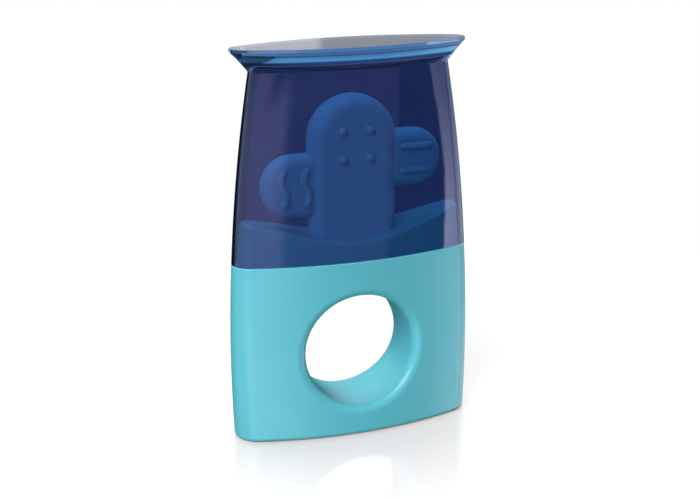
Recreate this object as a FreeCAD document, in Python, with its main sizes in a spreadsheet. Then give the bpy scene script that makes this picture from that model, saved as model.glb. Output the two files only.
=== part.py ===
import FreeCAD, Part
import math
import os
from types import SimpleNamespace

import Sketcher
from FreeCAD import Placement, Rotation, Vector

# Covered baby teether: a ring handle of two welded shells, a cactus-shaped chew head
# on a stiff core that the shells trap, and a tinted cover that slips over the neck.
# Millimetres, +Z up, origin at the middle of the base, front face towards -Y.

SIZES = {
    # Handle outline, through three lens-shaped sections
    "base_half_width": 33.3,
    "base_half_depth": 10.9,
    "base_end_radius": 6.8,
    "belly_height": 20.0,
    "belly_half_width": 33.85,
    "belly_half_depth": 9.9,
    "belly_end_radius": 6.2,
    "shoulder_height": 48.6,
    "shoulder_half_width": 33.05,
    "shoulder_half_depth": 9.6,
    "shoulder_end_radius": 5.4,
    "base_round": 1.2,
    "shoulder_round": 0.4,
    "shell_wall": 2.0,
    # Finger ring through the handle, measured down from the shoulder
    "ring_drop": 25.3,
    "ring_radius": 15.3,
    "ring_wall": 2.0,
    "ring_lip": 2.4,
    # Neck that the cover slips over, with a dished deck above the shoulder
    "neck_gap": 0.3,
    "deck_rise": 5.1,
    "deck_end_rise": 7.0,
    "deck_radius": 46.0,
    "deck_thickness": 2.4,
    "deck_round": 1.1,
    # Locating pins of the front shell and the posts that carry them
    "pin_spacing": 26.0,
    "pin_radius": 1.6,
    "pin_reach": 5.4,
    "post_radius": 3.0,
    "pin_clearance": 0.1,
    # Stiff core: a foot above the ring and a blade that ends below the top of the trunk
    "core_thickness": 2.4,
    "core_ring_gap": 1.1,
    "core_foot_width": 36.0,
    "core_blade_width": 12.0,
    "core_blade_drop": 8.2,
    # Foot of the chew head, through a slot in the deck and locked under it
    "foot_width": 18.0,
    "foot_depth": 5.4,
    "foot_clearance": 0.1,
    "flange_spread": 1.4,
    "flange_thickness": 2.0,
    # Trunk and arms of the chew head, measured up from the deck
    "trunk_half_width": 12.05,
    "trunk_rise": 38.1,
    "trunk_half_depth": 4.3,
    "trunk_round": 3.9,
    "arm_half_depth": 3.1,
    "arm_round": 2.8,
    "arm_tip": 25.0,
    "left_arm_rise": 14.6,
    "left_arm_half_height": 8.5,
    "right_arm_rise": 20.0,
    "right_arm_half_height": 7.8,
    # Raised chewing pattern
    "dot_radius": 1.25,
    "dot_spacing": 7.5,
    "dot_drop": 12.9,
    "rib_radius": 1.05,
    "rib_stand": 0.85,
    "rib_end_step": 0.05,
    "wave_reach": 16.4,
    "wave_spacing": 6.3,
    "wave_length": 8.6,
    "wave_swing": 0.75,
    "bar_spacing": 6.5,
    "bar_length": 7.2,
    "bar_reach": 17.25,
    # Cover: tapered sleeve on the shoulder, sharp waist and flared solid top
    "cover_wall": 1.15,
    "cover_mid_rise": 23.0,
    "cover_mid_half_width": 31.15,
    "cover_mid_half_depth": 8.6,
    "cover_mid_end_radius": 4.8,
    "waist_half_width": 27.4,
    "waist_half_depth": 7.3,
    "waist_end_radius": 3.4,
    "flare_rise": 2.6,
    "flare_half_width": 29.6,
    "flare_half_depth": 8.5,
    "flare_end_radius": 3.5,
    "rim_half_width": 32.2,
    "rim_half_depth": 9.8,
    "rim_end_radius": 3.8,
    "rim_edge": 0.8,
    "head_clearance": 9.2,
    "ceiling_over_waist": 2.1,
    "top_thickness": 4.0,
    "ceiling_round": 0.8,
}

doc = FreeCAD.newDocument("Teether")
sheet = doc.addObject("Spreadsheet::Sheet", "Sizes")
for row, (alias, number) in enumerate(SIZES.items(), start=1):
    sheet.set(f"A{row}", alias)
    sheet.set(f"B{row}", str(number))
    sheet.setAlias(f"B{row}", alias)
doc.recompute()


class Length:
    """A size on the sheet or a sum of sizes: an expression that follows the sheet, and its value."""

    def __init__(self, text, value):
        self.text = text
        self.value = value

    def __add__(self, other):
        other = as_length(other)
        return Length(f"({self.text} + {other.text})", self.value + other.value)

    def __sub__(self, other):
        other = as_length(other)
        return Length(f"({self.text} - {other.text})", self.value - other.value)

    def __mul__(self, other):
        other = as_length(other)
        return Length(f"({self.text} * {other.text})", self.value * other.value)

    __rmul__ = __mul__

    def __truediv__(self, other):
        other = as_length(other)
        return Length(f"({self.text} / {other.text})", self.value / other.value)

    def __neg__(self):
        return -1 * self


def as_length(amount):
    if isinstance(amount, Length):
        return amount
    return Length(f"({amount})", amount)


size = SimpleNamespace(**{alias: Length(f"Sizes.{alias}", number) for alias, number in SIZES.items()})
ZERO = as_length(0)
SIDES = {"left": -1, "right": 1}
SIGNS = (-1, 1)


# Heights, each measured from the piece that carries it

shoulder = size.shoulder_height
ring_centre = shoulder - size.ring_drop
deck = shoulder + size.deck_rise
neck_top = deck + size.deck_end_rise + size.deck_thickness
core_foot_bottom = ring_centre + size.ring_radius + size.ring_wall + size.core_ring_gap
core_foot_top = deck - size.deck_thickness - size.flange_thickness
pin_height = (core_foot_bottom + core_foot_top) / 2
trunk_top = deck + size.trunk_rise
left_arm_height = deck + size.left_arm_rise
right_arm_height = deck + size.right_arm_rise
ceiling = trunk_top + size.head_clearance
waist = ceiling - size.ceiling_over_waist
flare = waist + size.flare_rise
cover_top = ceiling + size.top_thickness
cover_mid = shoulder + size.cover_mid_rise


# Sketches and features

START, END, CENTRE = range(1, 4)
X_AXIS, Y_AXIS = range(-1, -3, -1)
ORIGIN = (X_AXIS, START)
TOUCH = 1e-4


def follow(item, **lengths):
    """Binds properties to the sheet; a double underscore stands for the dots of a placement."""
    for name, length in lengths.items():
        item.setExpression(name.replace("__", "."), length.text)


def move_to(item, x, y, z):
    follow(item, Placement__Base__x=x, Placement__Base__y=y, Placement__Base__z=z)


def new_body(label):
    body = doc.addObject("PartDesign::Body", label)
    body.Label = label
    return body


def new_sketch(body, name, role, offset=ZERO):
    """Sketch on an origin plane of its body, moved along the normal of that plane."""
    sketch = body.newObject("Sketcher::SketchObject", name)
    support = next(item for item in body.Origin.OriginFeatures if item.Role == role)
    sketch.AttachmentSupport = [(support, "")]
    sketch.MapMode = "FlatFace"
    follow(sketch, AttachmentOffset__Base__z=offset)
    return sketch


def constrain(sketch, kind, *target):
    return sketch.addConstraint(Sketcher.Constraint(kind, *target))


def dimension(sketch, kind, *target, length):
    index = constrain(sketch, kind, *target, length.value)
    sketch.setExpression(f"Constraints[{index}]", length.text)


def arc(centre_x, centre_y, radius, start, end):
    circle = Part.Circle(Vector(centre_x, centre_y, 0), Vector(0, 0, 1), radius)
    return Part.ArcOfCircle(circle, math.radians(start), math.radians(end))


def line(start_x, start_y, end_x, end_y):
    return Part.LineSegment(Vector(start_x, start_y, 0), Vector(end_x, end_y, 0))


def lens_section(body, name, height, half_width, half_depth, end_radius):
    """Level outline of two shallow faces and two round ends, tangent all round."""
    end_centre = half_width - end_radius
    squares = end_centre * end_centre + half_depth * half_depth - end_radius * end_radius
    face_radius = squares / (2 * (half_depth - end_radius))
    face_centre = face_radius.value - half_depth.value
    join = math.degrees(math.atan2(face_centre, end_centre.value))
    sketch = new_sketch(body, name, "XY_Plane", height)
    front = arc(0, face_centre, face_radius.value, -180 + join, -join)
    right = arc(end_centre.value, 0, end_radius.value, -join, join)
    back = arc(0, -face_centre, face_radius.value, join, 180 - join)
    left = arc(-end_centre.value, 0, end_radius.value, 180 - join, 180 + join)
    sketch.addGeometry([front, right, back, left], False)
    for side in range(4):
        constrain(sketch, "Tangent", side, END, (side + 1) % 4, START)
    constrain(sketch, "PointOnObject", 1, CENTRE, X_AXIS)
    constrain(sketch, "PointOnObject", 3, CENTRE, X_AXIS)
    constrain(sketch, "Equal", 1, 3)
    constrain(sketch, "Equal", 0, 2)
    dimension(sketch, "DistanceX", *ORIGIN, 1, CENTRE, length=end_centre)
    dimension(sketch, "DistanceX", 3, CENTRE, *ORIGIN, length=end_centre)
    dimension(sketch, "Radius", 1, length=end_radius)
    dimension(sketch, "Radius", 0, length=face_radius)
    return sketch


def lens_loft(body, name, sections, kind="Additive"):
    """Loft through lens sections given as (height, half width, half depth, end radius)."""
    outlines = []
    for number, section in enumerate(sections):
        outlines.append(lens_section(body, f"{name}_section_{number}", *section))
    loft = body.newObject(f"PartDesign::{kind}Loft", name)
    loft.Profile = outlines[0]
    loft.Sections = outlines[1:]
    doc.recompute()
    return loft


def cut_through(body, name, sketch):
    pocket = body.newObject("PartDesign::Pocket", name)
    pocket.Profile = sketch
    pocket.Type = "ThroughAll"
    pocket.SideType = "Symmetric"
    doc.recompute()
    return pocket


def drill_through(body, name, x, z, radius):
    """Hole or drum cut along Y, right through the body."""
    sketch = new_sketch(body, f"{name}_outline", "XZ_Plane")
    circle = Part.Circle(Vector(x.value, z.value, 0), Vector(0, 0, 1), radius.value)
    sketch.addGeometry(circle, False)
    dimension(sketch, "Radius", 0, length=radius)
    dimension(sketch, "DistanceY", *ORIGIN, 0, CENTRE, length=z)
    if x is ZERO:
        constrain(sketch, "PointOnObject", 0, CENTRE, Y_AXIS)
    else:
        dimension(sketch, "DistanceX", *ORIGIN, 0, CENTRE, length=x)
    return cut_through(body, name, sketch)


def outline_slot(sketch, width, depth):
    """Round-ended slot about the origin, its length along X."""
    end_radius = depth / 2
    end_centre = width / 2 - end_radius
    x, y = end_centre.value, end_radius.value
    sketch.addGeometry(
        [line(-x, -y, x, -y), arc(x, 0, y, -90, 90), line(x, y, -x, y), arc(-x, 0, y, 90, 270)],
        False,
    )
    for side in range(4):
        constrain(sketch, "Tangent", side, END, (side + 1) % 4, START)
    constrain(sketch, "Horizontal", 0)
    constrain(sketch, "PointOnObject", 1, CENTRE, X_AXIS)
    constrain(sketch, "PointOnObject", 3, CENTRE, X_AXIS)
    dimension(sketch, "DistanceX", *ORIGIN, 1, CENTRE, length=end_centre)
    dimension(sketch, "DistanceX", 3, CENTRE, *ORIGIN, length=end_centre)
    dimension(sketch, "Radius", 1, length=end_radius)


def pad(body, name, sketch, length, both_ways=False):
    feature = body.newObject("PartDesign::Pad", name)
    feature.Profile = sketch
    follow(feature, Length=length)
    if both_ways:
        feature.SideType = "Symmetric"
    doc.recompute()
    return feature


def round_edges(body, name, feature, radius, wanted):
    """Fillet every edge of the feature for which wanted(edge) holds."""
    edges = []
    for number, edge in enumerate(feature.Shape.Edges, start=1):
        if wanted(edge):
            edges.append(f"Edge{number}")
    fillet = body.newObject("PartDesign::Fillet", name)
    fillet.Base = (feature, edges)
    follow(fillet, Radius=radius)
    doc.recompute()
    return fillet


def level_at(height):
    """Picks the edges that lie at one height."""

    def wanted(edge):
        extent = edge.BoundBox
        return max(abs(extent.ZMin - height.value), abs(extent.ZMax - height.value)) < TOUCH

    return wanted


def bar_along(name, turn, radius, length, x, y, z):
    """Round bar that starts at (x, y, z); the turn swings it from +Z to its own direction."""
    bar = doc.addObject("Part::Cylinder", name)
    bar.Placement = Placement(Vector(), turn)
    follow(bar, Radius=radius, Height=length)
    move_to(bar, x, y, z)
    return bar


ALONG_X = Rotation(Vector(0, 1, 0), 90)
ALONG_Y = Rotation(Vector(1, 0, 0), -90)


def box(name, length, width, height, x, y, z):
    block = doc.addObject("Part::Box", name)
    follow(block, Length=length, Width=width, Height=height)
    move_to(block, x, y, z)
    return block


def ball(name, radius, x, y, z):
    sphere = doc.addObject("Part::Sphere", name)
    follow(sphere, Radius=radius)
    move_to(sphere, x, y, z)
    return sphere


def boolean(kind, label, base, tool):
    result = doc.addObject(f"Part::{kind}", label)
    result.Label = label
    result.Base = base
    result.Tool = tool
    doc.recompute()
    return result


def fuse(label, shapes):
    result = doc.addObject("Part::MultiFuse", label)
    result.Label = label
    result.Shapes = shapes
    doc.recompute()
    return result


# Outer form of the handle: lens sections up to the shoulder, then the neck

SECTION_PARTS = ("half_width", "half_depth", "end_radius")


def section_at(height, level, inset=ZERO):
    """Named section of the outline at a height, moved inwards by the inset."""
    return (height, *(getattr(size, f"{level}_{part}") - inset for part in SECTION_PARTS))


def neck_top_section(inset):
    """Section of the cover's sleeve at the top of the neck, moved inwards by the inset."""
    share = (neck_top - shoulder) / size.cover_mid_rise
    lengths = []
    for part in SECTION_PARTS:
        low = getattr(size, f"shoulder_{part}")
        high = getattr(size, f"cover_mid_{part}")
        lengths.append(low + (high - low) * share - inset)
    return (neck_top, *lengths)


neck_inset = size.cover_wall + size.neck_gap
neck_reach = size.shoulder_half_width - neck_inset
deck_centre = deck + size.deck_radius


def cut_dish(body, name, drop):
    """Cuts the dish of the deck, lowered by the drop: a round hollow that runs out straight to both ends."""
    radius = size.deck_radius + drop
    end_height = deck + size.deck_end_rise - drop
    top = neck_top + size.deck_thickness
    x, end, roof, middle = neck_reach.value, end_height.value, top.value, deck_centre.value
    to_end = math.hypot(x, end - middle)
    turn = math.atan2(end - middle, x) - math.acos(radius.value / to_end)
    touch_x, touch_z = radius.value * math.cos(turn), middle + radius.value * math.sin(turn)
    sketch = new_sketch(body, f"{name}_outline", "XZ_Plane")
    outline = [
        arc(0, middle, radius.value, -180 - math.degrees(turn), math.degrees(turn)),
        line(touch_x, touch_z, x, end),
        line(x, end, x, roof),
        line(x, roof, -x, roof),
        line(-x, roof, -x, end),
        line(-x, end, -touch_x, touch_z),
    ]
    sketch.addGeometry(outline, False)
    for side in range(len(outline)):
        joint = "Tangent" if side in (0, len(outline) - 1) else "Coincident"
        constrain(sketch, joint, side, END, (side + 1) % len(outline), START)
    constrain(sketch, "Vertical", 2)
    constrain(sketch, "Horizontal", 3)
    constrain(sketch, "Vertical", 4)
    constrain(sketch, "PointOnObject", 0, CENTRE, Y_AXIS)
    constrain(sketch, "Symmetric", 1, END, 5, START, Y_AXIS)
    dimension(sketch, "Radius", 0, length=radius)
    dimension(sketch, "DistanceY", *ORIGIN, 0, CENTRE, length=deck_centre)
    dimension(sketch, "DistanceX", *ORIGIN, 1, END, length=neck_reach)
    dimension(sketch, "DistanceY", *ORIGIN, 1, END, length=end_height)
    dimension(sketch, "DistanceY", *ORIGIN, 2, END, length=top)
    return cut_through(body, name, sketch)


block = new_body("handle_block")
lens_loft(
    block,
    "handle_form",
    [
        section_at(ZERO, "base"),
        section_at(size.belly_height, "belly"),
        section_at(shoulder, "shoulder"),
    ],
)
lens_loft(
    block,
    "neck_form",
    [section_at(shoulder, "shoulder", neck_inset), neck_top_section(neck_inset)],
)
cut_dish(block, "deck_dish", ZERO)
bored = drill_through(block, "ring_bore", ZERO, ring_centre, size.ring_radius)


def on_shoulder_rim(edge):
    """The outer edge of the shoulder, and not the foot of the neck."""
    extent = edge.BoundBox
    margin = neck_inset.value / 2
    at_end = max(extent.XMax, -extent.XMin) > size.shoulder_half_width.value - margin
    at_face = max(extent.YMax, -extent.YMin) > size.shoulder_half_depth.value - margin
    return level_at(shoulder)(edge) and (at_end or at_face)


def on_deck_rim(edge):
    """The edge all round the deck, and not the lines where its hollow runs out straight."""
    extent = edge.BoundBox
    return extent.ZMin > deck.value - TOUCH and extent.XLength > TOUCH


def on_ring_lip(edge):
    """The edges where the bore meets the front and back faces."""
    on_bore = all(
        abs(math.hypot(point.x, point.z - ring_centre.value) - size.ring_radius.value) < TOUCH
        for point in edge.discretize(5)
    )
    return on_bore and abs(edge.BoundBox.Center.y) > size.ring_lip.value


rounded = round_edges(block, "base_edge", bored, size.base_round, level_at(ZERO))
rounded = round_edges(block, "shoulder_edge", rounded, size.shoulder_round, on_shoulder_rim)
rounded = round_edges(block, "deck_edge", rounded, size.deck_round, on_deck_rim)
round_edges(block, "ring_lips", rounded, size.ring_lip, on_ring_lip)


# Hollow of the handle: walls of even thickness, the ring tube and two posts left standing

cavity = new_body("handle_cavity")
hollow_top = shoulder - size.shell_wall
lens_loft(
    cavity,
    "handle_hollow",
    [
        section_at(size.shell_wall, "base", size.shell_wall),
        section_at(size.belly_height, "belly", size.shell_wall),
        section_at(hollow_top, "shoulder", size.shell_wall),
    ],
)
neck_hollow_inset = neck_inset + size.shell_wall
lens_loft(
    cavity,
    "neck_hollow",
    [section_at(hollow_top, "shoulder", neck_hollow_inset), neck_top_section(neck_hollow_inset)],
)
cut_dish(cavity, "deck_underside", size.deck_thickness)
drill_through(cavity, "ring_tube", ZERO, ring_centre, size.ring_radius + size.ring_wall)
pin_places = {side: sign * size.pin_spacing / 2 for side, sign in SIDES.items()}
for side, x in pin_places.items():
    drill_through(cavity, f"{side}_post", x, pin_height, size.post_radius)


# Slot in the deck for the foot of the chew head, and room between the posts for the core

slot_body = new_body("deck_slot")
slot_floor = deck - size.deck_thickness - size.flange_thickness
slot_outline = new_sketch(slot_body, "deck_slot_outline", "XY_Plane", slot_floor)
slot_play = 2 * size.foot_clearance
outline_slot(slot_outline, size.foot_width + slot_play, size.foot_depth + slot_play)
pad(slot_body, "deck_slot_cut", slot_outline, neck_top - slot_floor)

core_play = size.pin_clearance
core_room = box(
    "core_room",
    size.core_foot_width + 2 * core_play,
    size.core_thickness,
    core_foot_top - core_foot_bottom + 2 * core_play,
    -size.core_foot_width / 2 - core_play,
    -size.core_thickness / 2,
    core_foot_bottom - core_play,
)
inside = fuse("handle_inside", [cavity, slot_body, core_room])
hollowed = boolean("Cut", "handle_hollowed", block, inside)


# Front and rear shells: the hollow handle parted on its middle plane

half_length = 4 * size.belly_half_width
half_depth = 2 * size.base_half_depth
half_height = 2 * neck_top
half_spaces = {}
for side, y in {"front": -half_depth, "rear": ZERO}.items():
    half_spaces[side] = box(
        f"{side}_half", half_length, half_depth, half_height, -half_length / 2, y, -half_height / 4
    )

pin_root = -size.core_thickness / 2 - size.pin_radius
socket_radius = size.pin_radius + size.pin_clearance
socket_reach = size.pin_reach + size.pin_clearance
pins = []
sockets = []
for side, x in pin_places.items():
    pin_length = size.pin_reach - pin_root
    pins.append(
        bar_along(f"{side}_pin", ALONG_Y, size.pin_radius, pin_length, x, pin_root, pin_height)
    )
    sockets.append(
        bar_along(f"{side}_socket", ALONG_Y, socket_radius, socket_reach, x, ZERO, pin_height)
    )
doc.recompute()
front_half = boolean("Common", "front_parted", hollowed, half_spaces["front"])
front_shell = fuse("handle_front_shell", [front_half, *pins])
rear_half = boolean("Common", "rear_parted", hollowed, half_spaces["rear"])
rear_shell = boolean("Cut", "handle_rear_shell", rear_half, fuse("pin_sockets", sockets))


# Stiff core: a blade up the trunk and a wide foot with two pin holes

core = new_body("core")
core_outline = new_sketch(core, "core_outline", "XZ_Plane")
blade_radius = size.core_blade_width / 2
dome_height = trunk_top - size.core_blade_drop - blade_radius
foot_x = size.core_foot_width.value / 2
blade_x = blade_radius.value
low, high, dome = core_foot_bottom.value, core_foot_top.value, dome_height.value
core_sides = [
    line(-foot_x, low, foot_x, low),
    line(foot_x, low, foot_x, high),
    line(foot_x, high, blade_x, high),
    line(blade_x, high, blade_x, dome),
    arc(0, dome, blade_x, 0, 180),
    line(-blade_x, dome, -blade_x, high),
    line(-blade_x, high, -foot_x, high),
    line(-foot_x, high, -foot_x, low),
]
core_outline.addGeometry(core_sides, False)
dome_side = next(side for side, curve in enumerate(core_sides) if isinstance(curve, Part.ArcOfCircle))
for side in range(len(core_sides)):
    joint = "Tangent" if side in (dome_side - 1, dome_side) else "Coincident"
    constrain(core_outline, joint, side, END, (side + 1) % len(core_sides), START)
for upright in (1, 3, 5, 7):
    constrain(core_outline, "Vertical", upright)
for level in (2, 6):
    constrain(core_outline, "Horizontal", level)
constrain(core_outline, "Symmetric", 0, START, 0, END, Y_AXIS)
constrain(core_outline, "PointOnObject", dome_side, CENTRE, Y_AXIS)
constrain(core_outline, "Equal", 1, 7)
dimension(core_outline, "DistanceX", 0, START, 0, END, length=size.core_foot_width)
dimension(core_outline, "DistanceY", *ORIGIN, 0, START, length=core_foot_bottom)
dimension(core_outline, "DistanceY", *ORIGIN, 1, END, length=core_foot_top)
dimension(core_outline, "Radius", dome_side, length=blade_radius)
dimension(core_outline, "DistanceY", *ORIGIN, dome_side, CENTRE, length=dome_height)
pad(core, "core_plate", core_outline, size.core_thickness, both_ways=True)
for side, x in pin_places.items():
    drill_through(core, f"{side}_pin_hole", x, pin_height, socket_radius)


# Trunk of the chew head: a domed slab that sits in the dish of the deck

trunk = new_body("trunk")
trunk_outline = new_sketch(trunk, "trunk_outline", "XZ_Plane")
crown = trunk_top - size.trunk_half_width
trunk_x = size.trunk_half_width.value
dish_half_angle = math.degrees(math.asin(trunk_x / size.deck_radius.value))
dish_edge = deck_centre.value - math.sqrt(size.deck_radius.value**2 - trunk_x**2)
trunk_outline.addGeometry(
    [
        arc(0, deck_centre.value, size.deck_radius.value, -90 - dish_half_angle, -90 + dish_half_angle),
        line(trunk_x, dish_edge, trunk_x, crown.value),
        arc(0, crown.value, trunk_x, 0, 180),
        line(-trunk_x, crown.value, -trunk_x, dish_edge),
    ],
    False,
)
constrain(trunk_outline, "Coincident", 0, END, 1, START)
constrain(trunk_outline, "Tangent", 1, END, 2, START)
constrain(trunk_outline, "Tangent", 2, END, 3, START)
constrain(trunk_outline, "Coincident", 3, END, 0, START)
constrain(trunk_outline, "Vertical", 1)
constrain(trunk_outline, "Vertical", 3)
constrain(trunk_outline, "PointOnObject", 0, CENTRE, Y_AXIS)
constrain(trunk_outline, "PointOnObject", 2, CENTRE, Y_AXIS)
dimension(trunk_outline, "Radius", 0, length=size.deck_radius)
dimension(trunk_outline, "DistanceY", *ORIGIN, 0, CENTRE, length=deck_centre)
dimension(trunk_outline, "Radius", 2, length=size.trunk_half_width)
dimension(trunk_outline, "DistanceY", *ORIGIN, 2, CENTRE, length=crown)
trunk_slab = pad(trunk, "trunk_slab", trunk_outline, 2 * size.trunk_half_depth, both_ways=True)


def on_face(edge):
    """Edges that lie in the front or back face of a slab."""
    extent = edge.BoundBox
    return extent.YLength < TOUCH and abs(extent.Center.y) > TOUCH


def above_dish(edge):
    """The dish edge of the trunk stays sharp, because it seats on the deck."""
    return on_face(edge) and edge.BoundBox.ZMax > crown.value - TOUCH


def away_from_root(edge):
    """The root edge of an arm stays sharp inside the trunk."""
    return on_face(edge) and edge.BoundBox.XLength > TOUCH


round_edges(trunk, "trunk_edge", trunk_slab, size.trunk_round, above_dish)


# Arms: round-ended slabs that grow out of the trunk at two heights

def arm(name, side, height, half_height):
    """Slab from the middle of the trunk to the tip on one side, -1 or 1."""
    body = new_body(name)
    outline = new_sketch(body, f"{name}_outline", "XZ_Plane")
    reach = size.arm_tip - half_height
    end = side * reach.value
    first = height.value - side * half_height.value
    last = height.value + side * half_height.value
    turn = 90 - 90 * side
    outline.addGeometry(
        [
            line(0, first, end, first),
            arc(end, height.value, half_height.value, turn - 90, turn + 90),
            line(end, last, 0, last),
            line(0, last, 0, first),
        ],
        False,
    )
    constrain(outline, "Tangent", 0, END, 1, START)
    constrain(outline, "Tangent", 1, END, 2, START)
    constrain(outline, "Coincident", 2, END, 3, START)
    constrain(outline, "Coincident", 3, END, 0, START)
    constrain(outline, "Horizontal", 0)
    constrain(outline, "Horizontal", 2)
    constrain(outline, "PointOnObject", 3, START, Y_AXIS)
    constrain(outline, "PointOnObject", 3, END, Y_AXIS)
    dimension(outline, "Radius", 1, length=half_height)
    dimension(outline, "DistanceY", *ORIGIN, 1, CENTRE, length=height)
    dimension(outline, "DistanceX", *ORIGIN, 1, CENTRE, length=side * reach)
    slab = pad(body, f"{name}_slab", outline, 2 * size.arm_half_depth, both_ways=True)
    round_edges(body, f"{name}_edge", slab, size.arm_round, away_from_root)
    return body


left_arm = arm("left_arm", SIDES["left"], left_arm_height, size.left_arm_half_height)
right_arm = arm("right_arm", SIDES["right"], right_arm_height, size.right_arm_half_height)


# Foot of the chew head: a stem through the deck and a flange that bears on its underside

foot = new_body("foot")
stem_outline = new_sketch(foot, "stem_outline", "XY_Plane", core_foot_top)
outline_slot(stem_outline, size.foot_width, size.foot_depth)
pad(foot, "stem", stem_outline, deck + size.deck_thickness - core_foot_top)
flange_outline = new_sketch(foot, "flange_outline", "XY_Plane", core_foot_top)
flange_growth = 2 * size.flange_spread
outline_slot(flange_outline, size.foot_width + flange_growth, size.foot_depth + flange_growth)
pad(foot, "flange", flange_outline, size.flange_thickness)


# Raised chewing pattern: dots on the trunk, waves on the left arm, bars on the right one

pattern = []
for column in SIGNS:
    for row in SIGNS:
        x = column * size.dot_spacing / 2
        z = trunk_top - size.dot_drop + row * size.dot_spacing / 2
        pattern.append(ball("dot", size.dot_radius, x, -size.trunk_half_depth, z))

rib_line = size.arm_half_depth + size.rib_stand - size.rib_radius
rib_end = size.rib_radius - size.rib_end_step
half_wave = size.wave_length / 2
quarter_wave = size.wave_length / 4
wave_bend = (quarter_wave * quarter_wave + size.wave_swing * size.wave_swing) / (2 * size.wave_swing)


def wave(name, x):
    """Upright S-shaped rib: two equal bends, the upper one towards the arm's tip."""
    body = new_body(name)
    path = new_sketch(body, f"{name}_path", "XZ_Plane", rib_line)
    radius = wave_bend.value
    centre_offset = radius - size.wave_swing.value
    half_turn = math.degrees(math.asin(quarter_wave.value / radius))
    middle = left_arm_height.value
    upper = arc(
        x.value + centre_offset, middle + quarter_wave.value, radius, 180 - half_turn, 180 + half_turn
    )
    lower = arc(x.value - centre_offset, middle - quarter_wave.value, radius, -half_turn, half_turn)
    path.addGeometry([upper, lower], False)
    constrain(path, "Tangent", 0, END, 1, END)
    constrain(path, "Vertical", 0, START, 0, END)
    constrain(path, "Vertical", 0, END, 1, START)
    constrain(path, "Equal", 0, 1)
    dimension(path, "Radius", 0, length=wave_bend)
    dimension(path, "DistanceX", *ORIGIN, 0, START, length=x)
    dimension(path, "DistanceY", *ORIGIN, 0, START, length=left_arm_height + half_wave)
    dimension(path, "DistanceY", 0, END, 0, START, length=half_wave)
    doc.recompute()
    section = body.newObject("Sketcher::SketchObject", f"{name}_section")
    section.AttachmentSupport = [(path, "Vertex1"), (path, "Edge1")]
    section.MapMode = "NormalToEdge"
    section.addGeometry(Part.Circle(Vector(), Vector(0, 0, 1), size.rib_radius.value), False)
    constrain(section, "Coincident", 0, CENTRE, *ORIGIN)
    dimension(section, "Radius", 0, length=size.rib_radius)
    pipe = body.newObject("PartDesign::AdditivePipe", f"{name}_rib")
    pipe.Profile = section
    pipe.Spine = path
    doc.recompute()
    return body


for name, row in {"inner_wave": -1, "outer_wave": 1}.items():
    x = -(size.wave_reach + row * size.wave_spacing / 2)
    pattern.append(wave(name, x))
    for end in SIGNS:
        pattern.append(ball("wave_end", rib_end, x, -rib_line, left_arm_height + end * half_wave))

for row in SIGNS:
    z = right_arm_height + row * size.bar_spacing / 2
    start = size.bar_reach - size.bar_length / 2
    pattern.append(bar_along("bar", ALONG_X, size.rib_radius, size.bar_length, start, -rib_line, z))
    for end in SIGNS:
        x = size.bar_reach + end * size.bar_length / 2
        pattern.append(ball("bar_end", rib_end, x, -rib_line, z))

front_pattern = fuse("front_pattern", pattern)
rear_pattern = doc.addObject("Part::Mirroring", "rear_pattern")
rear_pattern.Source = front_pattern
rear_pattern.Normal = Vector(0, 1, 0)
doc.recompute()

head_form = fuse("head_form", [trunk, left_arm, right_arm, foot, front_pattern, rear_pattern])
chew_head = boolean("Cut", "chew_head", head_form, core)


# Cover: tapered sleeve, waist and flared solid top, hollow up to its ceiling

cover = new_body("cover")
rim_low = cover_top - size.rim_edge
lens_loft(
    cover,
    "sleeve",
    [
        section_at(shoulder, "shoulder"),
        section_at(cover_mid, "cover_mid"),
        section_at(waist, "waist"),
    ],
)
lens_loft(
    cover,
    "flare",
    [section_at(waist, "waist"), section_at(flare, "flare"), section_at(rim_low, "rim")],
)
lens_loft(cover, "rim", [section_at(rim_low, "rim"), section_at(cover_top, "rim")])
sleeve_hollow = lens_loft(
    cover,
    "sleeve_hollow",
    [
        section_at(shoulder, "shoulder", size.cover_wall),
        section_at(cover_mid, "cover_mid", size.cover_wall),
        section_at(ceiling, "waist", size.cover_wall),
    ],
    kind="Subtractive",
)
round_edges(cover, "ceiling_edge", sleeve_hollow, size.ceiling_round, level_at(ceiling))


# Check every feature and write each piece

PIECES = (front_shell, rear_shell, core, chew_head, cover)
for item in doc.Objects:
    if "Invalid" in item.State or "Error" in item.State:
        raise RuntimeError(f"{item.Name} failed: {item.State}")
os.makedirs("parts", exist_ok=True)
for piece in PIECES:
    shape = piece.Shape
    if shape.isNull() or not shape.isValid() or len(shape.Solids) != 1:
        raise RuntimeError(f"{piece.Label} is not one sound solid")
    print(piece.Label, round(shape.Volume), "cubic mm", len(shape.Faces), "faces")
for piece in PIECES:
    piece.Shape.exportStep(f"parts/{piece.Label}.step")
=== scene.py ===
import math

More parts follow.
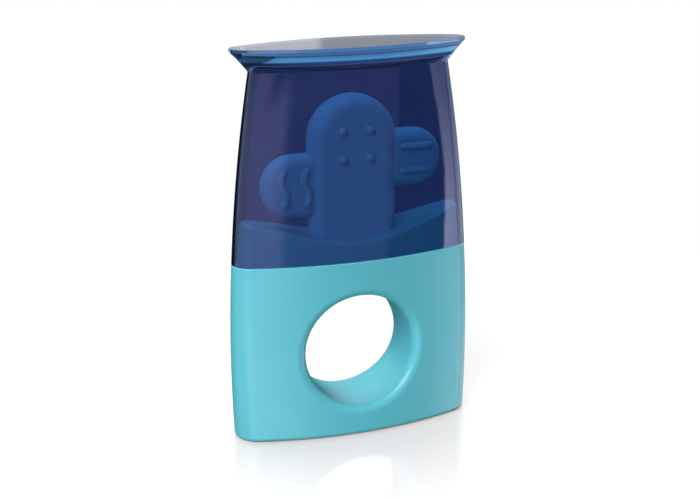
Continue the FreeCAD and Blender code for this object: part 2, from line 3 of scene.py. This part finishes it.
import bpy
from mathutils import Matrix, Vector

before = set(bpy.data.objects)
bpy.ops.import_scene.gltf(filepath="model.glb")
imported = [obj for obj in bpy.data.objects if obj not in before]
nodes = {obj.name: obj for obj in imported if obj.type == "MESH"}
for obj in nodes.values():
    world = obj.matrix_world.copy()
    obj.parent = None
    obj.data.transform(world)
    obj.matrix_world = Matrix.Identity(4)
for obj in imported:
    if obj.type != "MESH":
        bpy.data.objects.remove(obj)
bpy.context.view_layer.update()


# Handle: two turquoise shells, injection moulded in polypropylene with a satin finish.
# They close on the middle plane round the finger ring, the neck and the core's foot, and pins in
# the front shell stand in sockets of the rear one.
class Wire:
    """A socket of a node tree. Arithmetic on it adds Math nodes, and node() adds any other node."""

    def __init__(self, tree, socket=None):
        self.tree = tree
        self.socket = socket

    def node(self, kind, settings=None, sockets=None, output=0):
        made = self.tree.nodes.new(kind)
        for name, value in (settings or {}).items():
            setattr(made, name, value)
        for name, value in (sockets or {}).items():
            if isinstance(value, Wire):
                self.tree.links.new(value.socket, made.inputs[name])
            else:
                made.inputs[name].default_value = value
        return Wire(self.tree, made.outputs[output] if made.outputs else None)

    def math(self, operation, first, second):
        return self.node("ShaderNodeMath", {"operation": operation}, {0: first, 1: second})

    def __add__(self, other):
        return self.math("ADD", self, other)

    __radd__ = __add__

    def __sub__(self, other):
        return self.math("SUBTRACT", self, other)

    def __rsub__(self, other):
        return self.math("SUBTRACT", other, self)

    def __mul__(self, other):
        return self.math("MULTIPLY", self, other)

    __rmul__ = __mul__


def new_material(name):
    material = bpy.data.materials.new(name)
    material.use_nodes = True
    material.node_tree.nodes.clear()
    return material, Wire(material.node_tree)


def grain(wire, size):
    """Even noise over the piece, in grains of about this size in metres."""
    place = wire.node("ShaderNodeTexCoord", output="Object")
    return wire.node("ShaderNodeTexNoise", None, {"Vector": place, "Scale": 1 / size})


def blend(wire, share, first, second):
    sockets = {0: share, 6: first, 7: second}
    return wire.node("ShaderNodeMix", {"data_type": "RGBA"}, sockets, output=2)


def moulded_plastic(name, pale, deep, roughness, texture_depth):
    """A dull moulded surface, with faint clouds in its colour and a fine texture on its skin."""
    cloud_size = 0.012
    skin_size = 0.0004
    cloud_roughness = 0.08
    skin_roughness = 0.04
    material, wire = new_material(name)
    cloud = grain(wire, cloud_size)
    skin = grain(wire, skin_size)
    smoothest = roughness - (cloud_roughness + skin_roughness) / 2
    surface = wire.node(
        "ShaderNodeBsdfPrincipled",
        None,
        {
            "Base Color": blend(wire, cloud, pale, deep),
            "Roughness": smoothest + cloud * cloud_roughness + skin * skin_roughness,
            "Normal": wire.node("ShaderNodeBump", None, {"Height": skin, "Distance": texture_depth}),
            "IOR": 1.49,
        },
    )
    wire.node("ShaderNodeOutputMaterial", None, {"Surface": surface})
    return material


def dress(node, material):
    mesh = nodes[node].data
    mesh.materials.clear()
    mesh.materials.append(material)


turquoise = (0.106, 0.515, 0.605, 1)
turquoise_deep = (0.099, 0.495, 0.585, 1)
satin_roughness = 0.34
satin_texture = 0.000002
satin_shell = moulded_plastic(
    "satin turquoise plastic", turquoise, turquoise_deep, satin_roughness, satin_texture
)
dress("handle_front_shell", satin_shell)
dress("handle_rear_shell", satin_shell)


# Core: a stiff plastic plate moulded with a broad foot, which the handle's pins hold.
# The silicone head is moulded over its blade, so none of it shows.
plain_white = (0.72, 0.72, 0.70, 1)
plain_white_deep = (0.68, 0.68, 0.66, 1)
core_roughness = 0.45
core_texture = 0.000004
plain_core = moulded_plastic(
    "plain white plastic", plain_white, plain_white_deep, core_roughness, core_texture
)
dress("core", plain_core)


# Chew head: a round-ended cactus form in soft turquoise silicone, moulded over the core.
# Its dots, waves and bars are raised from both faces, and its foot locks under the deck.
soft_turquoise = (0.158, 0.524, 0.702, 1)
soft_turquoise_deep = (0.150, 0.503, 0.680, 1)
silicone_roughness = 0.58
silicone_texture = 0.000002
soft_silicone = moulded_plastic(
    "matt turquoise silicone", soft_turquoise, soft_turquoise_deep, silicone_roughness, silicone_texture
)
dress("chew_head", soft_silicone)


# Cover: a clear blue hood in polished styrene-acrylic, moulded in one shot with a solid flared top.
# It slips over the neck and stands on the handle's shoulder. Its tint holds painted light and shade
# by height, in place of light refracted through the solid top: a painted dark band under the flare,
# painted light on the flare and the top, and a painted dark streak for a reflection across the top.
# Its two ends get a painted near-black shade where they are seen on edge.
def step_up(wire, value, low, high):
    """0 below low, 1 above high, and smooth between."""
    sockets = {"Value": value, "From Min": low, "From Max": high}
    return wire.node("ShaderNodeMapRange", {"interpolation_type": "SMOOTHSTEP"}, sockets)


wall_tint = (0.094, 0.142, 0.313, 1)
# painted shade: a near-black tint for the cover's ends where they are seen on edge
edge_painted_shade = (0.0002, 0.0002, 0.0006, 1)
# painted shade and painted light by height: a dark band under the flare, then a bright flare and a bright
# top, in place of light refracted through the solid top
corner_painted_shade = (0.012, 0.021, 0.105, 1)
flare_painted_light = (0.30, 0.66, 1.0, 1)
top_painted_light = (0.26, 0.33, 0.52, 1)
painted_bands = ((0.1006, corner_painted_shade), (0.1017, flare_painted_light), (0.1035, top_painted_light))
painted_band_blur = 0.0003
# painted reflection: a dark streak across the top, in place of a reflected dark edge
streak_painted_reflection = (0.027, 0.072, 0.246, 1)
painted_streak_height = 0.1032
painted_streak_reach = 0.0004
solid_blue = (0.0, 0.49, 0.76, 1)
blue_depth = 70
lamp_tint = (0.95, 0.97, 0.99, 1)
polish_size = 0.006
smoothest_polish = 0.007
polish_change = 0.006
wave_size = 0.02
wave_depth = 0.00001
clear_bounces = 3

clear_blue, wire = new_material("clear blue plastic")
place = wire.node("ShaderNodeTexCoord", output="Object")
height = wire.node("ShaderNodeSeparateXYZ", None, {0: place}, output="Z")
slant = wire.node("ShaderNodeLayerWeight", None, {"Blend": 0.5}, output="Facing")
leaving = wire.node("ShaderNodeNewGeometry", output="Backfacing")
normal = wire.node("ShaderNodeNewGeometry", output="Normal")
endwise = wire.node("ShaderNodeSeparateXYZ", None, {0: normal}, output="X")
at_end = step_up(wire, wire.math("ABSOLUTE", endwise, 0), 0.6, 0.85)
# where the painted edge shade goes: the ends of the cover seen on edge, on their outside faces
edge_shade_share = step_up(wire, slant, 0.34, 0.52) * at_end * (1 - leaving)
tint_with_painted_light_and_shade = blend(wire, edge_shade_share, wall_tint, edge_painted_shade)
# lays the painted bands of light and shade over the tint, one height at a time
for painted_band_height, painted_band_colour in painted_bands:
    over_painted_band = step_up(wire, height, painted_band_height - painted_band_blur, painted_band_height + painted_band_blur)
    tint_with_painted_light_and_shade = blend(wire, over_painted_band, tint_with_painted_light_and_shade, painted_band_colour)
# where the painted dark streak goes, on the outside faces only
painted_streak_foot = step_up(wire, height, painted_streak_height - painted_streak_reach, painted_streak_height)
painted_streak_head = step_up(wire, height, painted_streak_height, painted_streak_height + painted_streak_reach)
painted_streak = (painted_streak_foot - painted_streak_head) * (1 - leaving)
tint_with_painted_light_and_shade = blend(wire, painted_streak, tint_with_painted_light_and_shade, streak_painted_reflection)
waves = wire.node("ShaderNodeBump", None, {"Height": grain(wire, wave_size), "Distance": wave_depth})
glass = wire.node(
    "ShaderNodeBsdfPrincipled",
    None,
    {
        "Base Color": tint_with_painted_light_and_shade,
        "Roughness": smoothest_polish + grain(wire, polish_size) * polish_change,
        "Normal": waves,
        "IOR": 1.49,
        "Transmission Weight": 1.0,
    },
)
let_through = wire.node("ShaderNodeBsdfTransparent", None, {"Color": lamp_tint})
lamp_ray = wire.node("ShaderNodeLightPath", output="Is Shadow Ray")
soft_ray = wire.node("ShaderNodeLightPath", output="Is Diffuse Ray")
bounces = wire.node("ShaderNodeLightPath", output="Ray Depth")
inner_light = wire.math("MAXIMUM", wire.math("MAXIMUM", lamp_ray, soft_ray), bounces - clear_bounces)
hood = wire.node("ShaderNodeMixShader", None, {0: inner_light, 1: glass, 2: let_through})
inside = wire.node("ShaderNodeVolumeAbsorption", None, {"Color": solid_blue, "Density": blue_depth})
wire.node("ShaderNodeOutputMaterial", None, {"Surface": hood, "Volume": inside})
dress("cover", clear_blue)


# Floor: a round white table top, lightly polished near the part, so that it gives a faint mirror
# picture of the handle beside the soft shadow. The picture's tints make it nearly grey.
table_radius = 0.20
rim_points = 96
polish_start = 0.015
polish_end = 0.085
table_white = (0.40, 0.40, 0.40, 1)
no_mirror = (0, 0, 0, 1)
mirror_colour = (0.21, 0.36, 0.42, 1)
mirror_roughness = 0.09
glow_white = (0.55, 0.55, 0.55, 1)
glow_under_mirror = (0.34, 0.19, 0.13, 1)
glow_on_part = 0.3

turns = [2 * math.pi * number / rim_points for number in range(rim_points)]
table_rim = [(table_radius * math.cos(turn), table_radius * math.sin(turn), 0) for turn in turns]
table_mesh = bpy.data.meshes.new("white table")
table_mesh.from_pydata(table_rim, [], [range(rim_points)])
table = bpy.data.objects.new("white table", table_mesh)
bpy.context.collection.objects.link(table)
table_finish, wire = new_material("white table")
spot = wire.node("ShaderNodeTexCoord", output="Object")
spread = wire.node("ShaderNodeVectorMath", {"operation": "LENGTH"}, {0: spot}, output="Value")
seen = wire.node("ShaderNodeLightPath", output="Is Camera Ray")
soft = wire.node("ShaderNodeLightPath", output="Is Diffuse Ray")
polish = (1 - step_up(wire, spread, polish_start, polish_end)) * seen
mirror_tint = blend(wire, polish, no_mirror, mirror_colour)
glow_tint = blend(wire, polish, glow_white, glow_under_mirror)
glow_strength = seen + soft * glow_on_part
paint = wire.node("ShaderNodeBsdfDiffuse", None, {"Color": table_white})
glow = wire.node("ShaderNodeEmission", None, {"Color": glow_tint, "Strength": glow_strength})
mirror = wire.node("ShaderNodeBsdfGlossy", None, {"Color": mirror_tint, "Roughness": mirror_roughness})
dull_top = wire.node("ShaderNodeAddShader", None, {0: paint, 1: glow})
polished_top = wire.node("ShaderNodeAddShader", None, {0: dull_top, 1: mirror})
wire.node("ShaderNodeOutputMaterial", None, {"Surface": polished_top})
table_mesh.materials.append(table_finish)
table.visible_glossy = False


# Studio: a white room, which the camera and the clear cover see as plain white. Gloss sees a window
# wall above the table and, below its edge, pale panels with dark gaps, which give the bands on the
# cover. A bluish panel gives the veil on its front. Three soft boxes light the part.
room_white = (1, 1, 1, 1)
veil_blue = (0.37, 0.35, 1.0, 1)
ambient_glow = 0.15
camera_glow = 1.0
cover_glow = 0.8
deep_glow = 0.2
gap_glow = 0.03
beneath_glow = 0.10
window_glow = 0.53
bright_window_glow = 0.96
left_side_glow = 0.85
left_front_glow = 0.5
left_low_glow = 5.0
right_glow = 0.75
right_glow_below = 2.1
right_shade = 0.5
right_shade_below = 1.2
right_low_glow = 4.2
right_end_glow = 1.9
right_end_shade = 0.8
veil_glow = 0.62
left_veil_glow = 0.9
right_veil_glow = 1.2
right_veil_glow_below = 0.7
veil_lean = 52.5

room = bpy.data.worlds.new("white room")
room.use_nodes = True
room.node_tree.nodes.clear()
bpy.context.scene.world = room
wire = Wire(room.node_tree)
sight = wire.node("ShaderNodeTexCoord", output="Generated")
along_x, along_y, along_z = (
    wire.node("ShaderNodeSeparateXYZ", None, {0: sight}, output=axis) for axis in "XYZ"
)
bearing = wire.math("ARCTAN2", along_x, 0 - along_y)


def panel_edge(degrees, blur, lean=0):
    """0 left of this bearing from the front, 1 right of it. A lean moves the edge with height."""
    side = bearing - along_z * math.radians(lean)
    return step_up(wire, side, math.radians(degrees - blur / 2), math.radians(degrees + blur / 2))


above_table = step_up(wire, along_z, -0.03, 0.10)
high_up = step_up(wire, along_z, 0.19, 0.25)
ahead = step_up(wire, along_z, -0.58, -0.40)
left_tall = 1 - step_up(wire, along_z, -0.06, -0.01)
below = 1 - step_up(wire, along_z, -0.24, -0.03)
low = 1 - step_up(wire, along_z, -0.29, -0.245)
lowest = 1 - step_up(wire, along_z, -0.34, -0.30)

left_far_edge = panel_edge(-115, 10)
left_corner = panel_edge(-60, 20)
left_low_edge = panel_edge(-55, 20)
left_top_edge = panel_edge(-15, 5)
left_near_edge = panel_edge(-7, 5)
left_low_near_edge = panel_edge(-2, 6)
veil_edge = panel_edge(41.6, 1.5, veil_lean)
right_low_edge = panel_edge(52, 4)
right_near_edge = panel_edge(53, 1.5)
right_shade_edge = panel_edge(58, 8)
right_corner = panel_edge(74, 12)
right_veil_edge = panel_edge(76, 12)
right_far_edge = panel_edge(125, 20)
window_edge = panel_edge(160.6, 0.5)

left_front = left_corner - left_top_edge * (1 - left_tall) - left_near_edge * left_tall
left_panel = (left_far_edge - left_corner) * left_side_glow + left_front * left_front_glow
left_low = (left_low_edge - left_low_near_edge) * low * left_low_glow
right_bright = right_near_edge * (right_glow + below * right_glow_below)
right_dim = right_shade_edge * (right_shade + below * right_shade_below)
right_panel = (right_bright - right_dim) * (1 - right_far_edge)
right_low = (right_low_edge - right_corner) * low * right_low_glow
right_end = (right_corner - right_far_edge) * (lowest * right_end_glow - low * right_end_shade)
panels = gap_glow + left_panel + left_low + right_panel + right_low + right_end
window_wall = window_glow + window_edge * (bright_window_glow - window_glow)
upper_room = window_wall + high_up * (1 - window_wall)
lower_room = ahead * panels + (1 - ahead) * beneath_glow
gloss_strength = above_table * upper_room + (1 - above_table) * lower_room
front_veil = (left_corner - veil_edge) * veil_glow + left_front * left_veil_glow
right_veil = (right_near_edge - right_veil_edge) * (right_veil_glow + below * right_veil_glow_below)
veil_strength = (front_veil + right_veil) * (1 - above_table) * (1 - low) * ahead

gloss_ray = wire.node("ShaderNodeLightPath", output="Is Glossy Ray")
camera_ray = wire.node("ShaderNodeLightPath", output="Is Camera Ray")
clear_ray = wire.node("ShaderNodeLightPath", output="Is Transmission Ray")
bounces = wire.node("ShaderNodeLightPath", output="Ray Depth")
deep_ray = step_up(wire, bounces, clear_bounces, clear_bounces + 1) * gloss_ray * (1 - clear_ray)
plain_sight = wire.math("MAXIMUM", wire.math("MAXIMUM", camera_ray, clear_ray), deep_ray)
sight_strength = cover_glow + camera_ray * (camera_glow - cover_glow) - deep_ray * (cover_glow - deep_glow)
ambient = wire.node("ShaderNodeBackground", None, {"Color": room_white, "Strength": ambient_glow})
in_sight = wire.node("ShaderNodeBackground", None, {"Color": room_white, "Strength": sight_strength})
in_gloss = wire.node("ShaderNodeBackground", None, {"Color": room_white, "Strength": gloss_strength})
in_veil = wire.node("ShaderNodeBackground", None, {"Color": veil_blue, "Strength": veil_strength})
mirrored = wire.node("ShaderNodeAddShader", None, {0: in_gloss, 1: in_veil})
lit = wire.node("ShaderNodeMixShader", None, {0: gloss_ray, 1: ambient, 2: mirrored})
whole_room = wire.node("ShaderNodeMixShader", None, {0: plain_sight, 1: lit, 2: in_sight})
wire.node("ShaderNodeOutputWorld", None, {"Surface": whole_room})


def soft_box(name, place, size, power):
    lamp = bpy.data.lights.new(name, "AREA")
    lamp.shape = "RECTANGLE"
    lamp.size, lamp.size_y = size
    lamp.energy = power
    box = bpy.data.objects.new(name, lamp)
    box.location = place
    box.rotation_euler = (middle - box.location).to_track_quat("-Z", "Y").to_euler()
    box.visible_camera = False
    box.visible_transmission = False
    bpy.context.collection.objects.link(box)


middle = Vector((0, 0, 0.055))
soft_box("key soft box", (-0.70, -0.62, 0.80), (0.75, 0.75), 15.0)
soft_box("top soft box", (0.0, 0.25, 0.95), (0.6, 0.6), 7.0)
soft_box("right soft box", (0.85, 0.15, 0.35), (0.3, 0.6), 3.0)
bpy.context.scene.view_settings.view_transform = "Standard"


# Camera: in front of the part, to its left and a little above it, as in the photograph.
# Its focal length and optical centre are in the pixels of a frame of 700 by 500.
frame_width = 700
frame_height = 500
focal_length = 1345.25
optical_centre = (350.5, 228.7)
distance = 0.35974
side_turn = math.radians(-20.67)
rise = math.radians(16.18)
roll = math.radians(-0.2)
eye = bpy.data.cameras.new("camera")
eye.sensor_width = 36
eye.lens = focal_length / frame_width * eye.sensor_width
eye.shift_x = (frame_width / 2 - optical_centre[0]) / frame_width
eye.shift_y = (optical_centre[1] - frame_height / 2) / frame_width
eye.clip_start = 0.01
camera = bpy.data.objects.new("camera", eye)
bpy.context.collection.objects.link(camera)
camera.location = (
    distance * math.sin(side_turn) * math.cos(rise),
    -distance * math.cos(side_turn) * math.cos(rise),
    middle.z + distance * math.sin(rise),
)
camera.rotation_euler = (middle - camera.location).to_track_quat("-Z", "Y").to_euler()
camera.rotation_euler.rotate_axis("Z", roll)
bpy.context.scene.camera = camera
